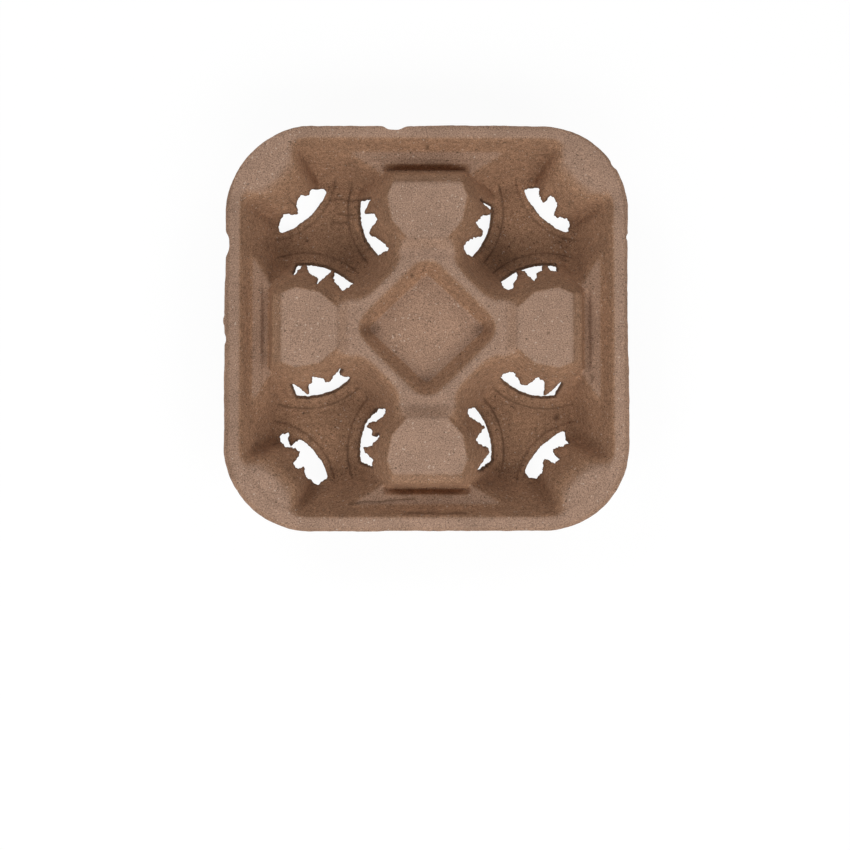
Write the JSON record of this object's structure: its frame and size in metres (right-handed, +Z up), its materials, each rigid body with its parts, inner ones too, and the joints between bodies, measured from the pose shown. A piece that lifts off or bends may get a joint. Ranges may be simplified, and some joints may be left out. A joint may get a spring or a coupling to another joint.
{
  "type": "cup carrier tray",
  "caption": "Square moulded-pulp cup carrier: flared wells with torn finger slots round a hollowed hub, pad-topped pillars between the wells and a flat rim.",
  "frame": {"origin": "bottom centre of the tray, level with the undersides of the well floors", "axes": "+X right and +Y towards the top of the picture, +Z up out of the wells"},
  "size_m": [0.216, 0.216, 0.0508],
  "materials": {
    "pulp": "matte, speckled brown paper pulp"
  },
  "bodies": {
    "root": {"pulp_tray": "pulp"}
  },
  "joints": []
}
